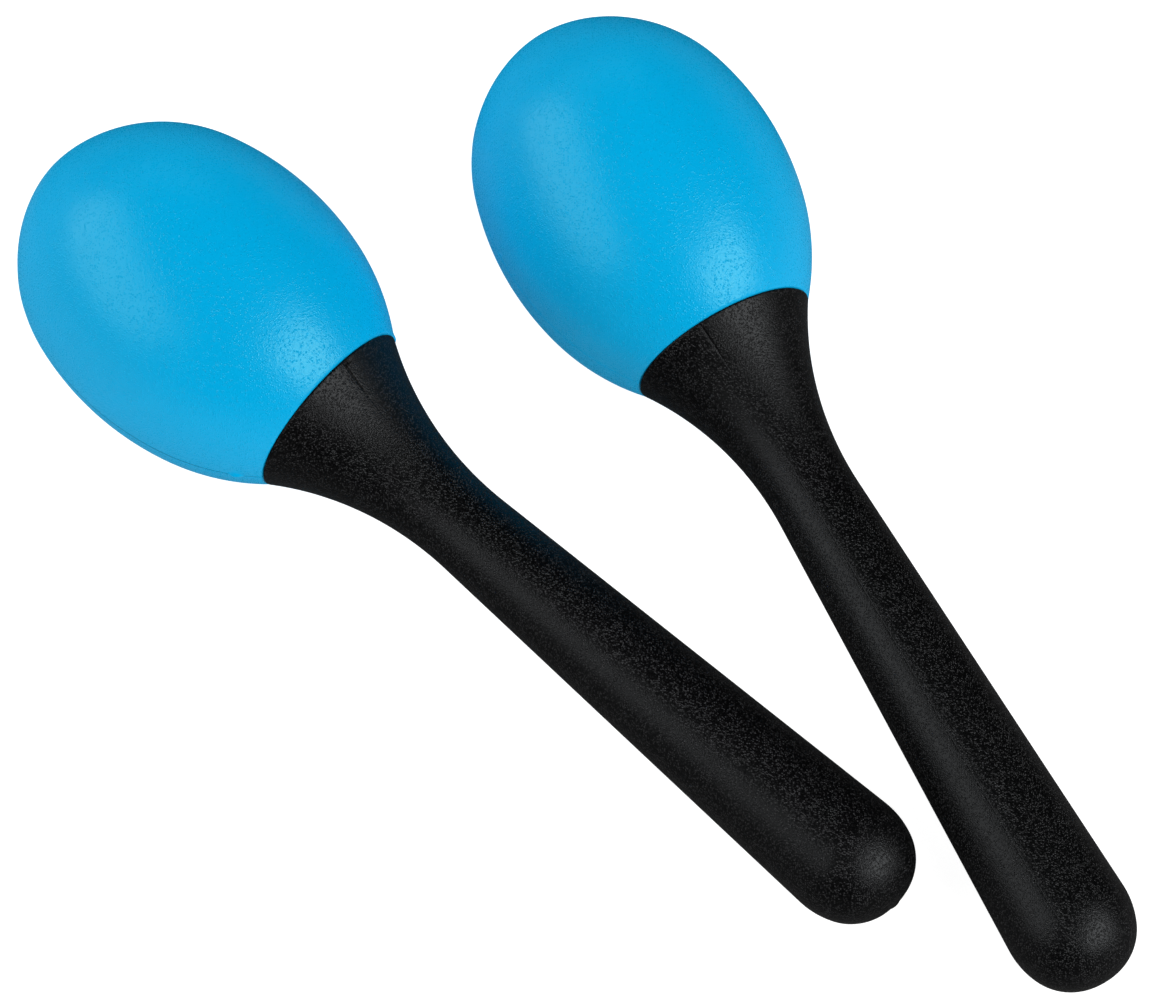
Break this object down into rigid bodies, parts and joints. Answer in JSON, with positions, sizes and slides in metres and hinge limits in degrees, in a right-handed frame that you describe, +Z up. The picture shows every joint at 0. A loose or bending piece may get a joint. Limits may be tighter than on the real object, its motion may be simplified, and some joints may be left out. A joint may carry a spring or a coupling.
{
  "type": "pair of maracas",
  "caption": "Pair of plastic maracas lying side by side: egg-shaped hollow rattle heads holding loose steel shot, on tapered hollow round handles with domed butts.",
  "frame": {"origin": "bottom centre of the pair's box, on the floor that the maracas lie on", "axes": "+Z up from the floor; +X along the longer side of the pair's box, towards the butts; +Y along the shorter side, towards the heads"},
  "size_m": [0.2146, 0.1964, 0.0611],
  "materials": {
    "blue_plastic": "satin, with a fine moulded leather grain",
    "black_plastic": "satin, with a fine spark-eroded texture",
    "steel_shot": "plain rolled steel balls"
  },
  "bodies": {
    "left_maraca": {"left_head_upper_shell": "blue_plastic", "left_head_lower_shell": "blue_plastic", "left_handle_tongue_half": "black_plastic", "left_handle_groove_half": "black_plastic", "left_neck_plug": "black_plastic"},
    "right_maraca": {"right_head_upper_shell": "blue_plastic", "right_head_lower_shell": "blue_plastic", "right_handle_tongue_half": "black_plastic", "right_handle_groove_half": "black_plastic", "right_neck_plug": "black_plastic"},
    "left_shot_01": {"left_shot_01": "steel_shot"},
    "left_shot_02": {"left_shot_02": "steel_shot"},
    "left_shot_03": {"left_shot_03": "steel_shot"},
    "left_shot_04": {"left_shot_04": "steel_shot"},
    "left_shot_05": {"left_shot_05": "steel_shot"},
    "left_shot_06": {"left_shot_06": "steel_shot"},
    "left_shot_07": {"left_shot_07": "steel_shot"},
    "left_shot_08": {"left_shot_08": "steel_shot"},
    "left_shot_09": {"left_shot_09": "steel_shot"},
    "left_shot_10": {"left_shot_10": "steel_shot"},
    "left_shot_11": {"left_shot_11": "steel_shot"},
    "left_shot_12": {"left_shot_12": "steel_shot"},
    "left_shot_13": {"left_shot_13": "steel_shot"},
    "left_shot_14": {"left_shot_14": "steel_shot"},
    "left_shot_15": {"left_shot_15": "steel_shot"},
    "left_shot_16": {"left_shot_16": "steel_shot"},
    "left_shot_17": {"left_shot_17": "steel_shot"},
    "left_shot_18": {"left_shot_18": "steel_shot"},
    "left_shot_19": {"left_shot_19": "steel_shot"},
    "right_shot_01": {"right_shot_01": "steel_shot"},
    "right_shot_02": {"right_shot_02": "steel_shot"},
    "right_shot_03": {"right_shot_03": "steel_shot"},
    "right_shot_04": {"right_shot_04": "steel_shot"},
    "right_shot_05": {"right_shot_05": "steel_shot"},
    "right_shot_06": {"right_shot_06": "steel_shot"},
    "right_shot_07": {"right_shot_07": "steel_shot"},
    "right_shot_08": {"right_shot_08": "steel_shot"},
    "right_shot_09": {"right_shot_09": "steel_shot"},
    "right_shot_10": {"right_shot_10": "steel_shot"},
    "right_shot_11": {"right_shot_11": "steel_shot"},
    "right_shot_12": {"right_shot_12": "steel_shot"},
    "right_shot_13": {"right_shot_13": "steel_shot"},
    "right_shot_14": {"right_shot_14": "steel_shot"},
    "right_shot_15": {"right_shot_15": "steel_shot"},
    "right_shot_16": {"right_shot_16": "steel_shot"},
    "right_shot_17": {"right_shot_17": "steel_shot"},
    "right_shot_18": {"right_shot_18": "steel_shot"},
    "right_shot_19": {"right_shot_19": "steel_shot"}
  },
  "joints": [
    {"name": "lift_right_maraca", "type": "slide", "parent": "left_maraca", "child": "right_maraca", "axis": [0, 0, 1], "range_m": [0, 0.15]},
    {"name": "shot_left_01_bounce", "type": "slide", "parent": "left_maraca", "child": "left_shot_01", "axis": [0, 0, 1], "range_m": [0, 0.0518]},
    {"name": "shot_left_02_bounce", "type": "slide", "parent": "left_maraca", "child": "left_shot_02", "axis": [0, 0, 1], "range_m": [0, 0.0519]},
    {"name": "shot_left_03_bounce", "type": "slide", "parent": "left_maraca", "child": "left_shot_03", "axis": [0, 0, 1], "range_m": [0, 0.0513]},
    {"name": "shot_left_04_bounce", "type": "slide", "parent": "left_maraca", "child": "left_shot_04", "axis": [0, 0, 1], "range_m": [0, 0.0507]},
    {"name": "shot_left_05_bounce", "type": "slide", "parent": "left_maraca", "child": "left_shot_05", "axis": [0, 0, 1], "range_m": [0, 0.0508]},
    {"name": "shot_left_06_bounce", "type": "slide", "parent": "left_maraca", "child": "left_shot_06", "axis": [0, 0, 1], "range_m": [0, 0.0507]},
    {"name": "shot_left_07_bounce", "type": "slide", "parent": "left_maraca", "child": "left_shot_07", "axis": [0, 0, 1], "range_m": [0, 0.0513]},
    {"name": "shot_left_08_bounce", "type": "slide", "parent": "left_maraca", "child": "left_shot_08", "axis": [0, 0, 1], "range_m": [0, 0.0512]},
    {"name": "shot_left_09_bounce", "type": "slide", "parent": "left_maraca", "child": "left_shot_09", "axis": [0, 0, 1], "range_m": [0, 0.051]},
    {"name": "shot_left_10_bounce", "type": "slide", "parent": "left_maraca", "child": "left_shot_10", "axis": [0, 0, 1], "range_m": [0, 0.0492]},
    {"name": "shot_left_11_bounce", "type": "slide", "parent": "left_maraca", "child": "left_shot_11", "axis": [0, 0, 1], "range_m": [0, 0.0491]},
    {"name": "shot_left_12_bounce", "type": "slide", "parent": "left_maraca", "child": "left_shot_12", "axis": [0, 0, 1], "range_m": [0, 0.0481]},
    {"name": "shot_left_13_bounce", "type": "slide", "parent": "left_maraca", "child": "left_shot_13", "axis": [0, 0, 1], "range_m": [0, 0.0493]},
    {"name": "shot_left_14_bounce", "type": "slide", "parent": "left_maraca", "child": "left_shot_14", "axis": [0, 0, 1], "range_m": [0, 0.049]},
    {"name": "shot_left_15_bounce", "type": "slide", "parent": "left_maraca", "child": "left_shot_15", "axis": [0, 0, 1], "range_m": [0, 0.0493]},
    {"name": "shot_left_16_bounce", "type": "slide", "parent": "left_maraca", "child": "left_shot_16", "axis": [0, 0, 1], "range_m": [0, 0.0481]},
    {"name": "shot_left_17_bounce", "type": "slide", "parent": "left_maraca", "child": "left_shot_17", "axis": [0, 0, 1], "range_m": [0, 0.0491]},
    {"name": "shot_left_18_bounce", "type": "slide", "parent": "left_maraca", "child": "left_shot_18", "axis": [0, 0, 1], "range_m": [0, 0.0492]},
    {"name": "shot_left_19_bounce", "type": "slide", "parent": "left_maraca", "child": "left_shot_19", "axis": [0, 0, 1], "range_m": [0, 0.051]},
    {"name": "shot_right_01_bounce", "type": "slide", "parent": "right_maraca", "child": "right_shot_01", "axis": [0, 0, 1], "range_m": [0, 0.0518]},
    {"name": "shot_right_02_bounce", "type": "slide", "parent": "right_maraca", "child": "right_shot_02", "axis": [0, 0, 1], "range_m": [0, 0.0519]},
    {"name": "shot_right_03_bounce", "type": "slide", "parent": "right_maraca", "child": "right_shot_03", "axis": [0, 0, 1], "range_m": [0, 0.0513]},
    {"name": "shot_right_04_bounce", "type": "slide", "parent": "right_maraca", "child": "right_shot_04", "axis": [0, 0, 1], "range_m": [0, 0.0507]},
    {"name": "shot_right_05_bounce", "type": "slide", "parent": "right_maraca", "child": "right_shot_05", "axis": [0, 0, 1], "range_m": [0, 0.0508]},
    {"name": "shot_right_06_bounce", "type": "slide", "parent": "right_maraca", "child": "right_shot_06", "axis": [0, 0, 1], "range_m": [0, 0.0507]},
    {"name": "shot_right_07_bounce", "type": "slide", "parent": "right_maraca", "child": "right_shot_07", "axis": [0, 0, 1], "range_m": [0, 0.0513]},
    {"name": "shot_right_08_bounce", "type": "slide", "parent": "right_maraca", "child": "right_shot_08", "axis": [0, 0, 1], "range_m": [0, 0.0512]},
    {"name": "shot_right_09_bounce", "type": "slide", "parent": "right_maraca", "child": "right_shot_09", "axis": [0, 0, 1], "range_m": [0, 0.051]},
    {"name": "shot_right_10_bounce", "type": "slide", "parent": "right_maraca", "child": "right_shot_10", "axis": [0, 0, 1], "range_m": [0, 0.0492]},
    {"name": "shot_right_11_bounce", "type": "slide", "parent": "right_maraca", "child": "right_shot_11", "axis": [0, 0, 1], "range_m": [0, 0.0491]},
    {"name": "shot_right_12_bounce", "type": "slide", "parent": "right_maraca", "child": "right_shot_12", "axis": [0, 0, 1], "range_m": [0, 0.0481]},
    {"name": "shot_right_13_bounce", "type": "slide", "parent": "right_maraca", "child": "right_shot_13", "axis": [0, 0, 1], "range_m": [0, 0.0493]},
    {"name": "shot_right_14_bounce", "type": "slide", "parent": "right_maraca", "child": "right_shot_14", "axis": [0, 0, 1], "range_m": [0, 0.049]},
    {"name": "shot_right_15_bounce", "type": "slide", "parent": "right_maraca", "child": "right_shot_15", "axis": [0, 0, 1], "range_m": [0, 0.0493]},
    {"name": "shot_right_16_bounce", "type": "slide", "parent": "right_maraca", "child": "right_shot_16", "axis": [0, 0, 1], "range_m": [0, 0.0481]},
    {"name": "shot_right_17_bounce", "type": "slide", "parent": "right_maraca", "child": "right_shot_17", "axis": [0, 0, 1], "range_m": [0, 0.0491]},
    {"name": "shot_right_18_bounce", "type": "slide", "parent": "right_maraca", "child": "right_shot_18", "axis": [0, 0, 1], "range_m": [0, 0.0492]},
    {"name": "shot_right_19_bounce", "type": "slide", "parent": "right_maraca", "child": "right_shot_19", "axis": [0, 0, 1], "range_m": [0, 0.051]}
  ]
}
